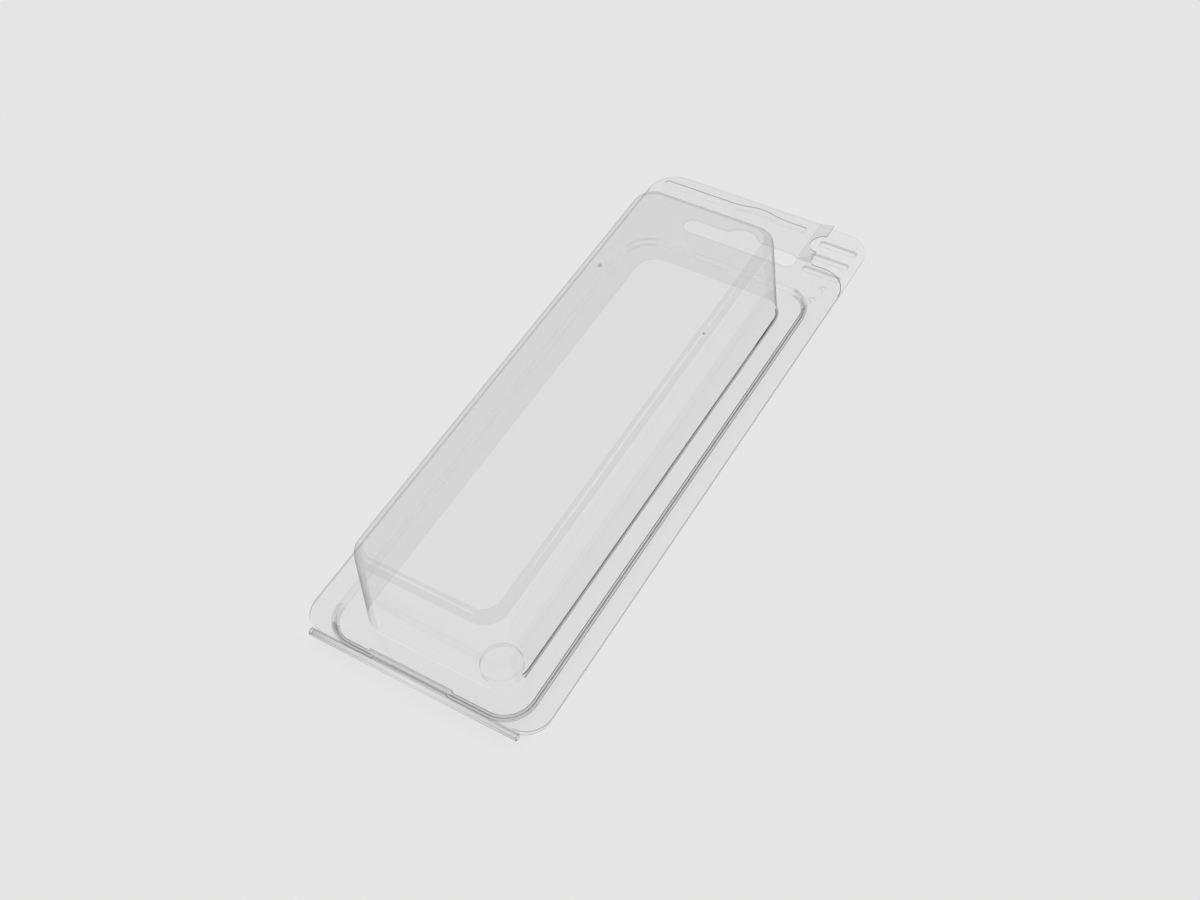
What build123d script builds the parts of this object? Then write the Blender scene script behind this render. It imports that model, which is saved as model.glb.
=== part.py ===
from build123d import *
import os

# Clear thermoformed clamshell pack, closed and lying on its back half.
# X runs across the pack, Y from the hinge to the hang tab, Z up out of the blister.
# The origin is on the table, under the middle of the pack. All sizes are in millimetres.
# Sizes along the pack are counted from the fold line at the hinge.

# Film and flange
film = 0.4
flange_width = 62.0
flange_length = 161.7
hinge_corner = 6.0
tab_corner = 7.3

# Stepped recess that nests one half in the other
recess_width = 50.2
recess_start = 1.7
recess_end = flange_length - 23.9
recess_corner = 6.7
recess_depth = 1.8
recess_draft = 6.0
mouth_bevel = 0.5
floor_bevel = 0.25
nest_gap = 0.15
floor_gap = 0.1

# Locking lug in the recess wall beside the hinge
lug_left = -13.0
lug_right = 8.7
lug_depth = 0.6

# Deep blister of the front half: its foot, its top and its rounded edges
foot_width = 39.9
foot_start = 7.1
foot_end = recess_end - 4.5
top_width = 37.6
top_start = 8.2
top_end = foot_end - 0.1
blister_rise = 23.8
blister_corner = 5.4
blister_round = 2.4
foot_round = 0.5

# Hang slot with a dome over its middle
slot_width = 32.2
slot_height = 5.0
slot_centre = flange_length - 15.1
slot_dome = 4.9
slot_blend = 1.0

# Stiffening rib above the hang slot
rib_left = -28.0
rib_right = 13.9
rib_centre = flange_length - 4.3
rib_width = 2.2
rib_height = 0.8
rib_bow = 1.1
rib_bow_half = 8.0
rib_bevel = 0.45

# Corner of the front half that is cut away over the finger tab
cut_left = 19.6
cut_start = flange_length - 14.0
cut_corner = 7.2
cut_nick = 0.8
notch_radius = 3.1
notch_centre = flange_length - 7.2

# Strip beside the cut that slopes up for a finger
flare_width = 3.9
flare_rise = 0.9
flare_ramp = 2.2

# Snap dimples on the front flange, by the far corner of the recess
dimple_radius = 1.3
dimple_height = 0.5
dimple_spots = ((25.9, recess_end - 1.6), (26.7, recess_end + 3.0))

# Grip grooves on the back half's finger tab
grip_count = 3
grip_pitch = 4.9
grip_first = flange_length - 15.2
grip_left = 18.0
grip_right = 28.6
grip_width = 2.2
grip_depth = 0.7
grip_bevel = 0.45

# Round boss on the back half's floor, in the blister's corner
boss_radius = 5.2
boss_height = 1.9
boss_across = 13.9
boss_along = 13.1
boss_bevel = 0.45

# Rolled bead of the living hinge
bead_radius = 0.9
bead_length = 54.0
bead_out = 0.5
bead_gap = 0.15
bead_mouth = 24.0

# Levels, from the table up
back_depth = recess_depth + floor_gap
meet_level = film + back_depth
front_level = meet_level + film
top_level = front_level + blister_rise
front_floor = front_level - recess_depth
block_depth = back_depth + 3 * film

# The middle of the pack is at the origin, so the fold line is here
fold_y = (bead_out + bead_radius - flange_length) / 2
tab_y = fold_y + flange_length
cut_y = fold_y + cut_start
axis_y = fold_y - bead_out
front_y = axis_y + bead_radius + bead_gap


def frustum(low, rise, foot, top):
    """A four-sided body with sloping walls; foot and top are (width, start, end)."""
    with BuildPart() as body:
        with BuildSketch(Plane.YZ):
            Polygon(
                (fold_y + foot[1], low),
                (fold_y + foot[2], low),
                (fold_y + top[2], low + rise),
                (fold_y + top[1], low + rise),
                align=None,
            )
        extrude(amount=foot[0], both=True)
        with BuildSketch(Plane.XZ):
            Polygon(
                (-foot[0] / 2, low),
                (foot[0] / 2, low),
                (top[0] / 2, low + rise),
                (-top[0] / 2, low + rise),
                align=None,
            )
        extrude(amount=flange_length, both=True, mode=Mode.INTERSECT)
    return body.part


def blister(shrink):
    """The blister, smaller all round by a shrinkage, with its corners and top rounded."""
    low = front_floor - shrink
    foot = (foot_width - 2 * shrink, foot_start + shrink, foot_end - shrink)
    top = (top_width - 2 * shrink, top_start + shrink, top_end - shrink)
    with BuildPart() as body:
        add(frustum(low, top_level - shrink - low, foot, top))
        uprights = body.edges().group_by(Axis.Z)[1]
        fillet(uprights, blister_corner - shrink)
        fillet(body.faces().sort_by(Axis.Z)[-1].edges(), blister_round - shrink)
    return body.part


def recess(level, depth, grow, shrink):
    """The hollow of a recess under a level, wider all round by a growth."""
    near = fold_y + recess_start - grow
    far = fold_y + recess_end + grow
    with BuildPart() as hollow:
        with BuildSketch(Plane.XY.offset(level)):
            with Locations((0, (near + far) / 2)):
                RectangleRounded(recess_width + 2 * grow, far - near, recess_corner + grow)
        extrude(amount=-depth, taper=recess_draft)
        chamfer(hollow.faces().sort_by(Axis.Z)[0].edges(), floor_bevel + shrink / 2)
    return hollow.part


def lug(level, depth, grow):
    """The locking lug on the recess's near wall, its top below the mouth by its own depth."""
    near = fold_y + recess_start - grow
    with BuildPart() as block:
        with Locations(((lug_left + lug_right) / 2, near, level - lug_depth)):
            Box(
                lug_right - lug_left - 2 * grow,
                lug_depth,
                depth,
                align=(Align.CENTER, Align.MIN, Align.MAX),
            )
    return block.part


def flange_block(level):
    """The space under a flange."""
    with BuildPart() as block:
        with Locations((0, (fold_y + tab_y) / 2, level)):
            Box(
                flange_width + 2 * film,
                flange_length + 4 * film,
                block_depth,
                align=(Align.CENTER, Align.CENTER, Align.MAX),
            )
    return block.part


def hang_slot():
    """The hang slot: round ended, with a dome over its middle."""
    middle = fold_y + slot_centre
    with BuildSketch() as slot:
        with BuildLine():
            ThreePointArc((-slot_dome, middle), (0, middle + slot_dome), (slot_dome, middle))
            Line((slot_dome, middle), (-slot_dome, middle))
        make_face()
        with Locations((0, middle)):
            SlotOverall(slot_width, slot_height)
        shoulders = slot.vertices().filter_by_position(Axis.X, -slot_dome, slot_dome)
        fillet(shoulders, slot_blend)
    return slot.sketch


def half_outline(near):
    """A half's flange outline from its near edge to the hang tab, with the hang slot cut."""
    with BuildSketch() as outline:
        with Locations((0, (near + tab_y) / 2)):
            Rectangle(flange_width, tab_y - near)
        fillet(outline.vertices().group_by(Axis.Y)[0], hinge_corner)
        fillet(outline.vertices().group_by(Axis.Y)[-1], tab_corner)
        add(hang_slot(), mode=Mode.SUBTRACT)
    return outline.sketch


def stiffening_rib(shrink):
    """The rib above the hang slot, bowed out round the slot's dome."""
    line_y = fold_y + rib_centre
    half = rib_width / 2
    with BuildPart() as rib:
        with BuildSketch(Plane.XY.offset(front_level - shrink - film)):
            with BuildLine():
                Line((rib_left + half, line_y), (-rib_bow_half, line_y))
                Spline(
                    (-rib_bow_half, line_y),
                    (0, line_y + rib_bow),
                    (rib_bow_half, line_y),
                    tangents=((1, 0), (1, 0)),
                )
                Line((rib_bow_half, line_y), (rib_right - half, line_y))
            trace(line_width=rib_width - 2 * shrink)
            with Locations((rib_left + half, line_y), (rib_right - half, line_y)):
                Circle(half - shrink)
        extrude(amount=rib_height + film)
        chamfer(rib.faces().sort_by(Axis.Z)[-1].edges(), rib_bevel - shrink / 2)
    return rib.part


def flare(shrink):
    """The strip beside the finger cut: it slopes up to the cut, from a ramp at its near end."""
    level = front_level - shrink
    start = cut_left - flare_width
    begin = cut_y + shrink
    with BuildPart() as strip:
        with BuildSketch(Plane.XZ.offset(-begin)):
            Polygon(
                (start, level - film),
                (cut_left + film, level - film),
                (cut_left + film, level + flare_rise * (1 + film / flare_width)),
                (start, level),
                align=None,
            )
        extrude(amount=-(tab_y + film - begin))
        ramp = Plane(origin=(0, begin, level), z_dir=(0, -flare_rise, flare_ramp))
        split(bisect_by=ramp, keep=Keep.BOTTOM)
    return strip.part


def dimples(shrink):
    """The snap dimples: low domes on the front flange."""
    ball = (dimple_radius**2 + dimple_height**2) / (2 * dimple_height)
    with BuildPart() as domes:
        for across, along in dimple_spots:
            with Locations((across, fold_y + along, front_level + dimple_height - ball)):
                Sphere(ball - shrink)
        split(bisect_by=Plane.XY.offset(front_level - shrink - film / 2), keep=Keep.TOP)
    return domes.part


def mouth_edges(body, level):
    """The edges of a recess's mouth at a level."""
    rim = body.edges().filter_by_position(Axis.Z, level - film / 4, level + film / 4)
    across = recess_width / 2 + 4 * film
    start = fold_y + recess_start - 4 * film
    end = fold_y + recess_end + 4 * film
    return rim.filter_by_position(Axis.X, -across, across).filter_by_position(Axis.Y, start, end)


def foot_edges(body, level):
    """The edges where the blister rises from the recess's floor."""
    rim = body.edges().filter_by_position(Axis.Z, level - film / 8, level + film / 8)
    across = foot_width / 2 + film
    start = fold_y + foot_start - film
    end = fold_y + foot_end + film
    return rim.filter_by_position(Axis.X, -across, across).filter_by_position(Axis.Y, start, end)


def under_front(shrink):
    """The space under the front half's upper face, or under its lower face with the film's shrinkage."""
    level = front_level - shrink
    with BuildPart() as space:
        add(flange_block(level))
        add(recess(level, recess_depth, shrink, shrink), mode=Mode.SUBTRACT)
        chamfer(mouth_edges(space, level), mouth_bevel - shrink / 2)
        add(blister(shrink))
        fillet(foot_edges(space, level - recess_depth), foot_round + shrink)
        add(lug(level, recess_depth, shrink))
        add(stiffening_rib(shrink))
        add(flare(shrink))
        add(dimples(shrink))
    return space.part


def grip_grooves(shrink):
    """The grip grooves, sunk into the back half's finger tab."""
    half = grip_width / 2 - film + shrink
    middle = (grip_left + grip_right) / 2
    with BuildPart() as grooves:
        with BuildSketch(Plane.XY.offset(meet_level - shrink)):
            for step in range(grip_count):
                with Locations((middle, fold_y + grip_first + step * grip_pitch)):
                    SlotOverall(grip_right - grip_left - grip_width + 2 * half, 2 * half)
        extrude(amount=-grip_depth)
        chamfer(grooves.faces().group_by(Axis.Z)[0].edges(), grip_bevel - film / 2 + shrink / 2)
    return grooves.part


def floor_boss(floor, shrink):
    """The round boss that stands on the back half's floor."""
    with BuildPart() as boss:
        with Locations((boss_across, fold_y + boss_along, floor - film)):
            Cylinder(
                boss_radius - shrink,
                boss_height + film,
                align=(Align.CENTER, Align.CENTER, Align.MIN),
            )
        chamfer(boss.faces().sort_by(Axis.Z)[-1].edges(), boss_bevel - shrink / 2)
    return boss.part


def under_back(shrink):
    """The space under the back half's upper face, or under its lower face with the film's shrinkage."""
    level = meet_level - shrink
    with BuildPart() as space:
        add(flange_block(level))
        add(recess(level, back_depth, film + nest_gap + shrink, shrink), mode=Mode.SUBTRACT)
        chamfer(mouth_edges(space, level), mouth_bevel - shrink / 2)
        add(lug(level, back_depth, film + nest_gap + shrink))
        add(grip_grooves(shrink), mode=Mode.SUBTRACT)
        add(floor_boss(level - back_depth, shrink))
    return space.part


# Front half: flange, stepped recess and blister in one film
with BuildPart() as front_half:
    add(under_front(0))
    add(under_front(film), mode=Mode.SUBTRACT)
    with BuildSketch() as front_outline:
        add(half_outline(front_y))
        with Locations((cut_left, cut_y)):
            Rectangle(
                flange_width,
                flange_width,
                align=(Align.MIN, Align.MIN),
                mode=Mode.SUBTRACT,
            )
        corners = front_outline.vertices()
        fillet(corners.sort_by_distance((flange_width / 2, cut_y))[0], cut_corner)
        corners = front_outline.vertices()
        fillet(corners.sort_by_distance((cut_left, cut_y))[0], cut_nick)
        with Locations((cut_left, fold_y + notch_centre)):
            Circle(notch_radius, mode=Mode.SUBTRACT)
    extrude(amount=top_level, mode=Mode.INTERSECT)

# Back half: flange and stepped recess that the front nests in, with the boss and the grips
with BuildPart() as back_half:
    add(under_back(0))
    add(under_back(film), mode=Mode.SUBTRACT)
    with BuildSketch():
        add(half_outline(fold_y))
    extrude(amount=top_level, mode=Mode.INTERSECT)
    with Locations(Location((0, axis_y, meet_level), (0, 90, 0))):
        Cylinder(bead_radius, bead_length, mode=Mode.SUBTRACT)

# Living hinge: the film's bead, open where the front half meets it
with BuildPart() as living_hinge:
    with BuildSketch(Plane.YZ):
        with Locations((axis_y, meet_level)):
            Circle(bead_radius)
            Circle(bead_radius - film, mode=Mode.SUBTRACT)
        with BuildLine():
            lower_lip = PolarLine((axis_y, meet_level), bead_radius + film, 0)
            upper_lip = PolarLine((axis_y, meet_level), bead_radius + film, bead_mouth)
            Line(lower_lip @ 1, upper_lip @ 1)
        make_face(mode=Mode.SUBTRACT)
    extrude(amount=bead_length / 2, both=True)

os.makedirs("parts", exist_ok=True)
front_half.part.label = "front_half"
export_step(front_half.part, "parts/front_half.step")
back_half.part.label = "back_half"
export_step(back_half.part, "parts/back_half.step")
living_hinge.part.label = "living_hinge"
export_step(living_hinge.part, "parts/living_hinge.step")
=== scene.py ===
import math

import bmesh
import bpy
from mathutils import Matrix, Vector


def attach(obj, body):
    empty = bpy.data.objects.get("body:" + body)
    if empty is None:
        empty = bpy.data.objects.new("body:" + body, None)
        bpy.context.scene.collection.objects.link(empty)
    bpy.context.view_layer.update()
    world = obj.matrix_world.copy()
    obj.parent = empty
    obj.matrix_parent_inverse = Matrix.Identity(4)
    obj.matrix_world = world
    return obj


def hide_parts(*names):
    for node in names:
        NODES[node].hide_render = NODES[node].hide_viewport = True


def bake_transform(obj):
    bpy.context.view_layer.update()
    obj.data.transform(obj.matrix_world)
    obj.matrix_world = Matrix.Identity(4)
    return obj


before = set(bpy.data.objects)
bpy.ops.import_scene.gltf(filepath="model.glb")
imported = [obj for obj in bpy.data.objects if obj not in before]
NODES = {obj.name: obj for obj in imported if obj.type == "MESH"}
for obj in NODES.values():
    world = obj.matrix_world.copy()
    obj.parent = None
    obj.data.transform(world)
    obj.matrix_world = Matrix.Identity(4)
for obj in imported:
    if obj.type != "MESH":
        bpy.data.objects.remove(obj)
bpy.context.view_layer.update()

MM = 0.001

# Places on the pack, in millimetres: X across from its middle, Y along from the fold, Z up from the table
FOLD_Y = -80.15
AXIS_Y = -80.65
MEET_Z = 2.3
FILM = 0.4
FRONT_Z = MEET_Z + FILM
TOP_Z = FRONT_Z + 23.8
RECESS_FLOOR_Z = FRONT_Z - 1.8

# The rolled bead of the hinge, with the half angle of its mouth in degrees
BEAD_RADIUS = 0.9
BEAD_MOUTH = 24
BEAD_HALF_LENGTH = 27.0
BEAD_STEPS = 22

# Just inside the flange's cut edges, and the middles of its round corners
SIDE_EDGE = 30.95
NEAR_EDGE = 0.6
FAR_EDGE = 161.65
FAR_CORNER_X = 23.7
FAR_CORNER_Y = 154.4
FAR_CORNER_RADIUS = 7.3
NEAR_CORNER_X = 25.0
NEAR_CORNER_Y = 6.3
NEAR_CORNER_INNER = 5.6
NEAR_CORNER_END = 7.0
CORNER_SLACK = 0.08
HIGHEST_EDGE = FRONT_Z + 1.3
LOWEST_EDGE = MEET_Z - FILM - 0.05

# The hang tab: where it begins, its slot, where the cut edges get only a faint painted dark line, the
# front half's cut-away corner, the strip that slopes up beside that, and the snap dimples
TAB_Y = 139.0
SLOT_HALF = 16.3
SLOT_NEAR = 143.9
SLOT_FAR = 151.8
FAINT_EDGE_HALF = 17.0
FAINT_EDGE_Y = 150.0
CUT_X = 16.4
CUT_FAR = 161.6
CUT_SIDE = 30.9
# Right of this the front half's cut edge gets the darkest painted dark line
EDGE_SHADE_X = 24.0
FLARE_X = 15.6
FLARE_Y = 147.6
DIMPLE_X = 24.0
DIMPLE_FAR = 142.5

# The recess: from where painted shade makes its bevels and walls darker, its right side, its near wall
# with the locking lug, and where its right wall ends
PAINTED_SHADE_X = 20.0
PAINTED_SHADE_Y = 8.4
RIGHT_X = 23.0
NEAR_WALL_Y = 4.0
RIGHT_WALL_FAR = 134.5
RIGHT_BEVEL_FAR = 136.0
LUG_Y = 3.0
LUG_LEFT = -13.2
LUG_RIGHT = 8.9

# The boss on the back half's floor
BOSS_X = 13.9
BOSS_Y = 13.1
BOSS_REACH = 5.6

# The blister: the box round its foot, where the foot's painted dark line begins, its middle, and where
# its top rounds off
FOOT_HALF = 21.0
FOOT_NEAR = 6.2
FOOT_FAR = 134.2
FOOT_TOP_Z = 1.5
FOOT_SHADE_X = 16.0
FOOT_SHADE_Y = 17.0
MIDDLE_Y = 70.0
TOP_ROUND_Z = 23.9
# How far up the blister's right wall is painted greyer, a painted reflection of the strip of film beside
# it
PAINTED_REFLECTION_TOP = 11.5

# The height of a face's normal, from 0 for an upright face to 1 for a level one
UPRIGHT = 0.02
EDGE_UPRIGHT = 0.05
WALL = 0.15
BEAD_CUT = 0.8
LEVEL = 0.97
WIDE_LEVEL = 0.99
FLAT_TOP = 0.995
# The other parts of a normal: facing right, leaning along the tab, and at a corner of the blister
FACING_RIGHT = 0.9
LEANING = 0.2
CORNER_TURN = 0.02

# How near the film's corners are to count as one, and from what angle in radians its edges stay sharp
MERGE = 0.002
SHARP = 0.6

# The pale grey that the floor and the backdrop show
PALE = (0.79, 0.79, 0.79, 1)

# How much light flat film lets fall on the floor, and the film's gloss
FLAT_PASSES = 0.985
GLOSS_ROUGHNESS = 0.06
GLOSS_FACING = 0.03
GLOSS_GRAZING = 0.5
GLOSS_POWER = 5.0
# Where the film's grey changes, from 0 for film seen face on to 1 for film seen edge on
FACE_ON = 0.2
SLOPED = 0.64
STEEP = 0.8


def clear_film(name, flat, slope, edge, shine, passed_light=FLAT_PASSES):
    """Clear film: light goes straight through, greyer at a grazing angle, with gloss on top.
    The light that reaches the floor through it is dimmed apart from that, and hardly on flat film."""
    mat = bpy.data.materials.new(name)
    mat.use_nodes = True
    nodes = mat.node_tree.nodes
    links = mat.node_tree.links
    nodes.clear()
    out = nodes.new("ShaderNodeOutputMaterial")
    facing = nodes.new("ShaderNodeLayerWeight")
    facing.inputs["Blend"].default_value = 0.5
    ramp = nodes.new("ShaderNodeValToRGB")
    steps = ramp.color_ramp.elements
    steps[0].position = FACE_ON
    steps[0].color = (flat, flat, flat, 1)
    steps[1].position = 1.0
    steps[1].color = (edge, edge, edge, 1)
    for position, grey in ((SLOPED, slope), (STEEP, (slope + edge) / 2)):
        step = steps.new(position)
        step.color = (grey, grey, grey, 1)
    through = nodes.new("ShaderNodeBsdfTransparent")
    gloss = nodes.new("ShaderNodeBsdfGlossy")
    gloss.inputs["Color"].default_value = (1, 1, 1, 1)
    gloss.inputs["Roughness"].default_value = GLOSS_ROUGHNESS
    steep = nodes.new("ShaderNodeMath")
    steep.operation = "POWER"
    steep.inputs[1].default_value = GLOSS_POWER
    share = nodes.new("ShaderNodeMath")
    share.operation = "MULTIPLY_ADD"
    share.inputs[1].default_value = GLOSS_GRAZING * shine
    share.inputs[2].default_value = GLOSS_FACING * shine
    mix = nodes.new("ShaderNodeMixShader")
    links.new(facing.outputs["Facing"], ramp.inputs["Fac"])
    links.new(ramp.outputs["Color"], through.inputs["Color"])
    links.new(facing.outputs["Facing"], steep.inputs[0])
    links.new(steep.outputs["Value"], share.inputs[0])
    links.new(share.outputs["Value"], mix.inputs["Fac"])
    links.new(through.outputs["BSDF"], mix.inputs[1])
    links.new(gloss.outputs["BSDF"], mix.inputs[2])
    passed = nodes.new("ShaderNodeBsdfTransparent")
    passed.inputs["Color"].default_value = (passed_light, passed_light, passed_light, 1)
    either = nodes.new("ShaderNodeMixShader")
    links.new(any_ray(nodes, links, "Is Shadow Ray", "Is Diffuse Ray"), either.inputs["Fac"])
    links.new(mix.outputs["Shader"], either.inputs[1])
    links.new(passed.outputs["BSDF"], either.inputs[2])
    links.new(either.outputs["Shader"], out.inputs["Surface"])
    return mat


def any_ray(nodes, links, *kinds):
    """A value of 1 for rays of any of these kinds, and 0 for the others."""
    rays = nodes.new("ShaderNodeLightPath")
    value = rays.outputs[kinds[0]]
    for kind in kinds[1:]:
        either = nodes.new("ShaderNodeMath")
        either.operation = "MAXIMUM"
        links.new(value, either.inputs[0])
        links.new(rays.outputs[kind], either.inputs[1])
        value = either.outputs["Value"]
    return value


def plain(name, grey, roughness):
    """An opaque material of one grey."""
    mat = bpy.data.materials.new(name)
    mat.use_nodes = True
    shader = mat.node_tree.nodes["Principled BSDF"]
    shader.inputs["Base Color"].default_value = (grey, grey, grey, 1)
    shader.inputs["Roughness"].default_value = roughness
    return mat


# The clear film and the rolled film of the hinge, then darker copies of the clear film whose greys are
# painted shade, standing in for the darkening that refraction and reflection give the film at bends,
# creases, cut edges and upright corners
film = clear_film("clear_film", flat=0.96, slope=0.948, edge=0.54, shine=1.0)
rolled = clear_film("rolled_film", flat=0.985, slope=0.93, edge=0.54, shine=0.6, passed_light=0.75)
soft = clear_film("soft_painted_shade_film", flat=0.91, slope=0.91, edge=0.7, shine=0.4)
bend_shade = clear_film("bend_painted_shade_film", flat=0.87, slope=0.87, edge=0.55, shine=0.8)
crease_shade = clear_film("crease_painted_shade_film", flat=0.78, slope=0.78, edge=0.6, shine=0.3)
line = clear_film("painted_dark_line_film", flat=0.54, slope=0.54, edge=0.52, shine=0.2)
cut = clear_film("cut_edge_painted_shade_film", flat=0.7, slope=0.7, edge=0.55, shine=0.2)
corner = clear_film("corner_painted_shade_film", flat=0.955, slope=0.88, edge=0.54, shine=0.8)
# The films a face can show: all but the plain clear film carry painted shade
KINDS = (film, soft, bend_shade, crease_shade, line, cut, corner)
FLAT, SOFT_SHADE, BEND_SHADE, CREASE_SHADE, DARK_LINE_SHADE, CUT_EDGE_SHADE, CORNER_SHADE = range(7)


def place(centre):
    """A point's place on the pack in millimetres: across, along and up."""
    return (centre.x / MM, centre.y / MM - FOLD_Y, centre.z / MM)


def on_rim(node, centre, normal):
    """True for the cut edges of a half's film."""
    x, y, z = place(centre)
    if node == "back_half" and y < NEAR_EDGE and abs(normal.z) < BEAD_CUT:
        return True
    if abs(normal.z) > EDGE_UPRIGHT or z > HIGHEST_EDGE or z < LOWEST_EDGE:
        return False
    if abs(x) > SIDE_EDGE or y > FAR_EDGE or y < NEAR_EDGE:
        return True
    if abs(x) < SLOT_HALF and SLOT_NEAR < y < SLOT_FAR:
        return True
    if y > FAR_CORNER_Y and abs(x) > FAR_CORNER_X:
        reach = math.hypot(abs(x) - FAR_CORNER_X, y - FAR_CORNER_Y)
        if abs(reach - FAR_CORNER_RADIUS) < CORNER_SLACK:
            return True
    if y < NEAR_CORNER_END and abs(x) > NEAR_CORNER_X:
        if math.hypot(abs(x) - NEAR_CORNER_X, y - NEAR_CORNER_Y) > NEAR_CORNER_INNER:
            return True
    return node == "front_half" and x > CUT_X and y > TAB_Y


def film_kind(node, centre, normal):
    """Which film a face shows, by where it is and how it leans; every film but the plain clear one is
    painted shade.
    """
    x, y, z = place(centre)
    front = node == "front_half"
    tilt = abs(normal.z)
    sloping = WALL < tilt < LEVEL
    if on_rim(node, centre, normal):
        return rim_kind(front, x, y)
    # Painted shade: a darker band along the rounded edges of the blister's top
    if front and z > TOP_ROUND_Z:
        return BEND_SHADE if tilt < FLAT_TOP else FLAT
    # Painted shade: a dark line on the sloping faces of the blister's foot on its right side, away from
    # its near corner
    if front and z < FOOT_TOP_Z and abs(x) < FOOT_HALF and FOOT_NEAR < y < FOOT_FAR:
        return DARK_LINE_SHADE if sloping and x > FOOT_SHADE_X and y > FOOT_SHADE_Y else FLAT
    # Painted shade on the strip that slopes up beside the cut-away corner, darkest on its slopes
    if front and x > FLARE_X and y > FLARE_Y and tilt < FLAT_TOP:
        return CREASE_SHADE if sloping else BEND_SHADE
    # The hang tab's ridges and grooves get painted shade, apart from the snap dimples
    if y > TAB_Y and not (x > DIMPLE_X and y < DIMPLE_FAR):
        return tab_kind(front, tilt, normal.y)
    # Painted shade on the upright near wall, darker on the locking lug
    if y < LUG_Y and tilt < UPRIGHT:
        return CUT_EDGE_SHADE if LUG_LEFT < x < LUG_RIGHT else BEND_SHADE
    # Painted shade on the boss's sloping faces that face the far end
    if not front and math.hypot(x - BOSS_X, y - BOSS_Y) < BOSS_REACH:
        return SOFT_SHADE if sloping and normal.y > 0 else FLAT
    # Painted shade on the blister's upright near-left and far-right corners
    if front and z > FRONT_Z and x * (y - MIDDLE_Y) > 0 and abs(normal.x * normal.y) > CORNER_TURN:
        return CORNER_SHADE
    # Painted shade on the upright walls below the front flange: the recess's near wall and its right
    # walls
    if UPRIGHT < tilt < WALL and z < FRONT_Z:
        return BEND_SHADE if y < NEAR_WALL_Y or x > PAINTED_SHADE_X and y < RIGHT_BEVEL_FAR else FLAT
    # Painted reflection: the lower part of the blister's right wall greyer, for the strip of film
    # reflected in it
    if front and FRONT_Z < z < PAINTED_REFLECTION_TOP and normal.x > FACING_RIGHT:
        return SOFT_SHADE
    if not sloping:
        return FLAT
    # Painted shade on the sloping bevels: darkest along the right side, darker near and right, lighter
    # left and far
    if x > RIGHT_X and y < RIGHT_BEVEL_FAR:
        return CUT_EDGE_SHADE if front else CREASE_SHADE
    return SOFT_SHADE if x < PAINTED_SHADE_X and y > PAINTED_SHADE_Y else CREASE_SHADE


def rim_kind(front, x, y):
    """The cut edges, painted as dark lines: darkest at the front half's cut-away corner and along its
    right edge.
    """
    if front and CUT_X < x < CUT_SIDE and TAB_Y < y < CUT_FAR:
        return DARK_LINE_SHADE
    if y > FAINT_EDGE_Y or abs(x) < FAINT_EDGE_HALF:
        return SOFT_SHADE
    return DARK_LINE_SHADE if x > EDGE_SHADE_X and front else CUT_EDGE_SHADE


def tab_kind(front, tilt, lean):
    """The ridges and grooves of the hang tab, with painted shade: dark on one side, faint on the other.
    """
    if front and lean > LEANING and tilt < WALL:
        return DARK_LINE_SHADE
    if not front and lean > LEANING and WALL < tilt < LEVEL:
        return CUT_EDGE_SHADE
    return SOFT_SHADE if tilt < LEVEL else FLAT


def nested_wall(centre, normal):
    """True for the recess's near and right walls, which show both skins of the film."""
    x, y, z = place(centre)
    if z > FRONT_Z or not UPRIGHT < abs(normal.z) < LEVEL:
        return False
    return NEAR_EDGE < y < NEAR_WALL_Y or x > RIGHT_X and NEAR_WALL_Y <= y < RIGHT_WALL_FAR


def film_sheet(name, node, body, side):
    """One skin of a half's film with its cut edges; side is 1 for the upper skin, -1 for the lower."""
    edit = bmesh.new()
    edit.from_mesh(NODES[node].data)
    bmesh.ops.remove_doubles(edit, verts=edit.verts, dist=MERGE * MM)
    everything = edit.verts[:] + edit.edges[:] + edit.faces[:]
    # Cut the film at the height where the painted reflection on the blister's right wall ends
    painted_reflection_cut = (0, 0, PAINTED_REFLECTION_TOP * MM)
    bmesh.ops.bisect_plane(edit, geom=everything, plane_co=painted_reflection_cut, plane_no=(0, 0, 1))
    edit.normal_update()
    rim = {face for face in edit.faces if on_rim(node, face.calc_center_median(), face.normal)}
    flat = [face for face in edit.faces if side * face.normal.z > WIDE_LEVEL and face not in rim]
    start = max(flat, key=lambda face: face.calc_area())
    skin = {start}
    queue = [start]
    while queue:
        face = queue.pop()
        for edge in face.edges:
            for other in edge.link_faces:
                if other not in skin and other not in rim:
                    skin.add(other)
                    queue.append(other)
    walls = {face for face in edit.faces if nested_wall(face.calc_center_median(), face.normal)}
    gone = [face for face in edit.faces if face not in skin | rim | walls]
    bmesh.ops.delete(edit, geom=gone, context="FACES")
    for edge in edit.edges:
        edge.smooth = len(edge.link_faces) == 2 and edge.calc_face_angle(0) < SHARP
    for face in edit.faces:
        face.smooth = True
        face.material_index = film_kind(node, face.calc_center_median(), face.normal)
    mesh = bpy.data.meshes.new(name)
    edit.to_mesh(mesh)
    edit.free()
    for kind in KINDS:
        mesh.materials.append(kind)
    obj = bpy.data.objects.new(name, mesh)
    bpy.context.collection.objects.link(obj)
    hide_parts(node)
    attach(obj, body)


film_sheet("front_film", "front_half", "front", 1)
film_sheet("back_film", "back_half", "back", -1)


def arc(centre, radius, start, stop, z, steps=10):
    """Points round an arc at one height, with angles in degrees."""
    made = []
    for i in range(steps + 1):
        turn = math.radians(start + (stop - start) * i / steps)
        made.append((centre[0] + radius * math.cos(turn), centre[1] + radius * math.sin(turn), z))
    return made


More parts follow.
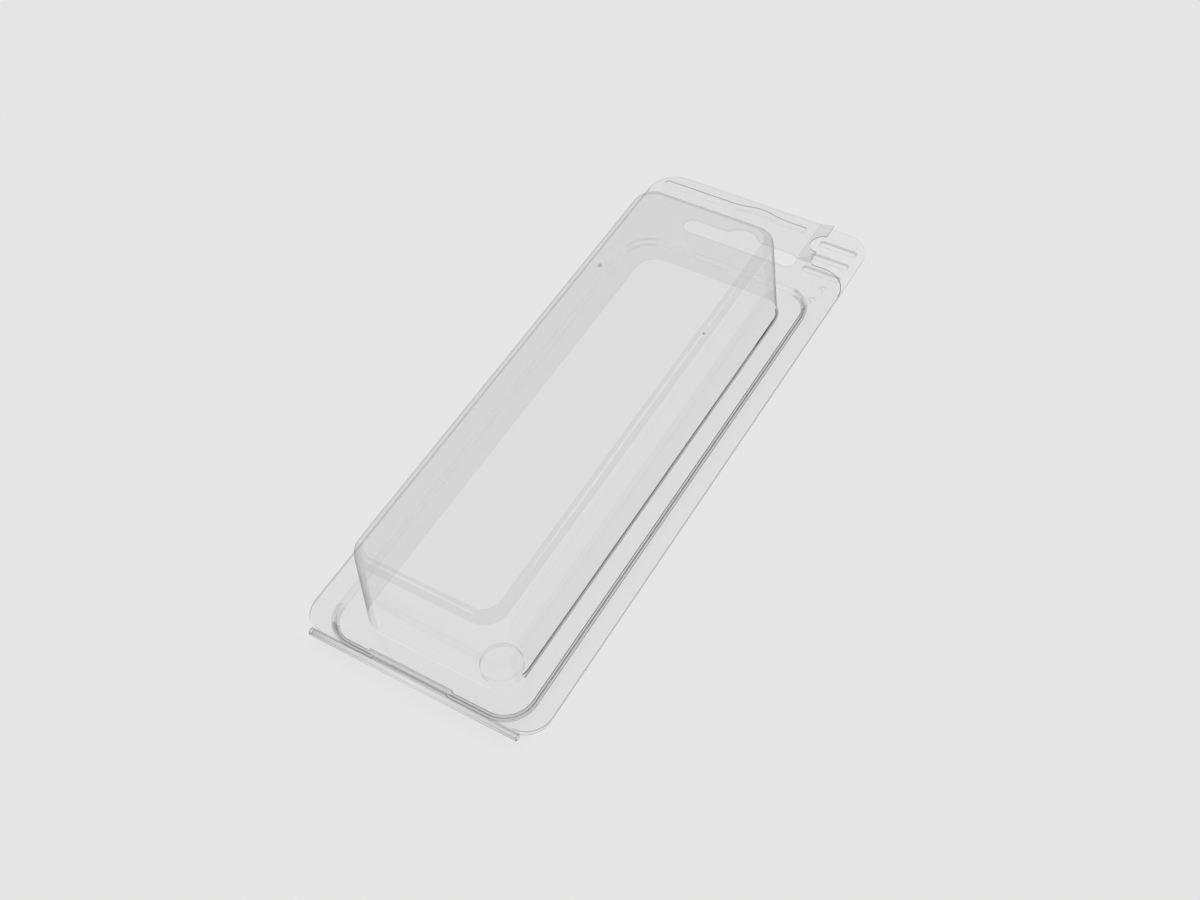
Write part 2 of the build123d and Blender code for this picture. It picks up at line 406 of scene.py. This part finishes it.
def hinge_film():
    """The hinge's film as one strip: from the front half, round the bead, into the back half."""
    start = math.radians(BEAD_MOUTH)
    stop = math.radians(360 - BEAD_MOUTH)
    outer = []
    inner = []
    for i in range(BEAD_STEPS + 1):
        turn = start + (stop - start) * i / BEAD_STEPS
        outer.append((AXIS_Y + BEAD_RADIUS * math.cos(turn), MEET_Z + BEAD_RADIUS * math.sin(turn)))
        reach = BEAD_RADIUS - FILM
        inner.append((AXIS_Y + reach * math.cos(turn), MEET_Z + reach * math.sin(turn)))
    ring = outer + inner[::-1]
    ends = (-BEAD_HALF_LENGTH, BEAD_HALF_LENGTH)
    verts = [(x * MM, y * MM, z * MM) for x in ends for y, z in ring]
    count = len(ring)
    faces = [(i, (i + 1) % count, count + (i + 1) % count, count + i) for i in range(count)]
    for i in range(BEAD_STEPS):
        across = count - 1 - i
        faces.append((i, across, across - 1, i + 1))
        faces.append((count + i, count + i + 1, count + across - 1, count + across))
    mesh = bpy.data.meshes.new("hinge_film")
    mesh.from_pydata(verts, [], faces)
    mesh.update()
    obj = bpy.data.objects.new("hinge_film", mesh)
    bpy.context.collection.objects.link(obj)
    mesh.materials.append(rolled)
    mesh.materials.append(line)
    edit = bmesh.new()
    edit.from_mesh(mesh)
    bmesh.ops.recalc_face_normals(edit, faces=edit.faces)
    for face in edit.faces:
        # The bead's two ends get the painted dark line film, the rest the rolled film
        end = abs(face.normal.x) > 0.5
        face.smooth = not end
        face.material_index = 1 if end else 0
    edit.to_mesh(mesh)
    edit.free()
    return obj


hinge = hinge_film()
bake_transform(hinge)
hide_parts("living_hinge")


def painted_shade_line(name, points, radius, body):
    """A thin dark tube along an edge of the film: a painted dark line for the shade that clear film shows
    at a cut or a tight fold.
    """
    curve = bpy.data.curves.new(name, "CURVE")
    curve.dimensions = "3D"
    curve.bevel_depth = radius * MM
    curve.bevel_resolution = 1
    spline = curve.splines.new("POLY")
    spline.points.add(len(points) - 1)
    for point, (x, y, z) in zip(spline.points, points):
        point.co = (x * MM, (FOLD_Y + y) * MM, z * MM, 1)
    curve.materials.append(line)
    obj = bpy.data.objects.new(name, curve)
    bpy.context.collection.objects.link(obj)
    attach(obj, body)


# A painted dark line along the round where the cut-away corner begins
painted_shade_line("cut_shade_line", arc((23.8, 140.5), 7.1, 0, 60, FRONT_Z - 0.1), 0.09, "front")

# Painted dark lines along the blister's right foot, from its near corner to its far one
foot_x = 19.75
foot_z = RECESS_FLOOR_Z + 0.15
near_round = arc((14.3, 14.8), 5.4, -20, 0, foot_z, 4)
painted_shade_line("foot_shade_line", near_round + [(foot_x, 30.0, foot_z), (foot_x, 127.5, foot_z)], 0.17, "front")
far_round = arc((14.4, 127.8), 5.3, 0, 40, foot_z, 6)
painted_shade_line("foot_corner_shade_line", [(foot_x, 118.0, foot_z)] + far_round, 0.2, "front")


def speck(name, across, along, radius, grey, drop=0.0):
    """A flat speck of dirt under the top of the blister, lower by a drop where the top rounds off."""
    flatness = 0.2
    mesh = bpy.data.meshes.new(name)
    edit = bmesh.new()
    bmesh.ops.create_uvsphere(edit, u_segments=12, v_segments=6, radius=radius * MM)
    bmesh.ops.scale(edit, vec=(1, 1, flatness), verts=edit.verts)
    edit.to_mesh(mesh)
    edit.free()
    mesh.materials.append(plain(name, grey, 0.8))
    obj = bpy.data.objects.new(name, mesh)
    bpy.context.collection.objects.link(obj)
    obj.location = (across * MM, (FOLD_Y + along) * MM, (TOP_Z - drop - flatness * radius) * MM)
    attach(obj, "front")


speck("speck_left", across=-14.0, along=104.0, radius=0.6, grey=0.45)
speck("speck_right", across=18.0, along=96.5, radius=0.3, grey=0.25, drop=0.62)

# Rays that look at something, as against those that only light it
LOOKING = ("Is Camera Ray", "Is Glossy Ray", "Is Transmission Ray")


def floor():
    """A large pale floor that takes the pack's soft shadow, a hair below the pack."""
    mesh = bpy.data.meshes.new("floor")
    half = 6.0
    corners = [(-half, -half, 0), (half, -half, 0), (half, half, 0), (-half, half, 0)]
    mesh.from_pydata(corners, [], [(0, 1, 2, 3)])
    obj = bpy.data.objects.new("floor", mesh)
    bpy.context.collection.objects.link(obj)
    obj.location.z = -0.1 * MM
    mesh.materials.append(floor_material())
    return obj


def floor_material():
    """The floor: it shows mostly its plain colour, and keeps part of the pack's shadow."""
    mat = plain("floor", 0.77, 0.9)
    nodes = mat.node_tree.nodes
    links = mat.node_tree.links
    share = nodes.new("ShaderNodeMath")
    share.operation = "MULTIPLY"
    share.inputs[1].default_value = 0.8
    glow = nodes.new("ShaderNodeEmission")
    glow.inputs["Color"].default_value = PALE
    mix = nodes.new("ShaderNodeMixShader")
    links.new(any_ray(nodes, links, *LOOKING), share.inputs[0])
    links.new(share.outputs["Value"], mix.inputs["Fac"])
    links.new(nodes["Principled BSDF"].outputs["BSDF"], mix.inputs[1])
    links.new(glow.outputs["Emission"], mix.inputs[2])
    links.new(mix.outputs["Shader"], nodes["Material Output"].inputs["Surface"])
    return mat


floor()


def studio():
    """A world that lights the pack evenly in white, and shows the floor's grey behind it."""
    world = bpy.data.worlds.new("studio")
    bpy.context.scene.world = world
    world.use_nodes = True
    nodes = world.node_tree.nodes
    links = world.node_tree.links
    sky = nodes["Background"]
    sky.inputs["Color"].default_value = (1, 1, 1, 1)
    sky.inputs["Strength"].default_value = 0.89
    backdrop = nodes.new("ShaderNodeBackground")
    backdrop.inputs["Color"].default_value = PALE
    mix = nodes.new("ShaderNodeMixShader")
    links.new(any_ray(nodes, links, *LOOKING), mix.inputs["Fac"])
    links.new(sky.outputs["Background"], mix.inputs[1])
    links.new(backdrop.outputs["Background"], mix.inputs[2])
    links.new(mix.outputs["Shader"], nodes["World Output"].inputs["Surface"])


def lamp(name, spot):
    """A square soft light at a spot in metres, turned to the pack."""
    data = bpy.data.lights.new(name, "AREA")
    data.shape = "SQUARE"
    data.size = 0.4
    data.energy = 1.6
    obj = bpy.data.objects.new(name, data)
    bpy.context.collection.objects.link(obj)
    obj.location = spot
    obj.rotation_euler = (-Vector(spot)).to_track_quat("-Z", "Y").to_euler()


studio()
lamp("right", (0.78, 0.6, 0.7))
lamp("near", (-0.45, -0.74, 0.84))

# The camera of the photograph, solved from the pack's outline: angles in degrees, the distance and the
# point it looks at in millimetres, and the focal length in pixels of the photograph
AZIMUTH = math.radians(36.93)
ELEVATION = math.radians(51.47)
ROLL = math.radians(-7.42)
DISTANCE = 375.3
TARGET = Vector((3.38, 71.55 + FOLD_Y, FRONT_Z))
FOCAL_PIXELS = 1609.11
PHOTO_WIDTH = 1200
SENSOR = 36.0

reach = math.cos(ELEVATION)
back = Vector((math.sin(AZIMUTH) * reach, -math.cos(AZIMUTH) * reach, math.sin(ELEVATION)))
side = (-back).cross(Vector((0, 0, 1))).normalized()
up = side.cross(-back)
right = math.cos(ROLL) * side + math.sin(ROLL) * up
top = -math.sin(ROLL) * side + math.cos(ROLL) * up
camera_data = bpy.data.cameras.new("camera")
camera_data.sensor_fit = "HORIZONTAL"
camera_data.sensor_width = SENSOR
camera_data.lens = FOCAL_PIXELS / PHOTO_WIDTH * SENSOR
camera_data.clip_start = 0.01
camera = bpy.data.objects.new("camera", camera_data)
bpy.context.collection.objects.link(camera)
turn = Matrix((right, top, back)).transposed().to_4x4()
camera.matrix_world = Matrix.Translation((TARGET + back * DISTANCE) * MM) @ turn
bpy.context.scene.camera = camera

bpy.context.scene.view_settings.view_transform = "Standard"
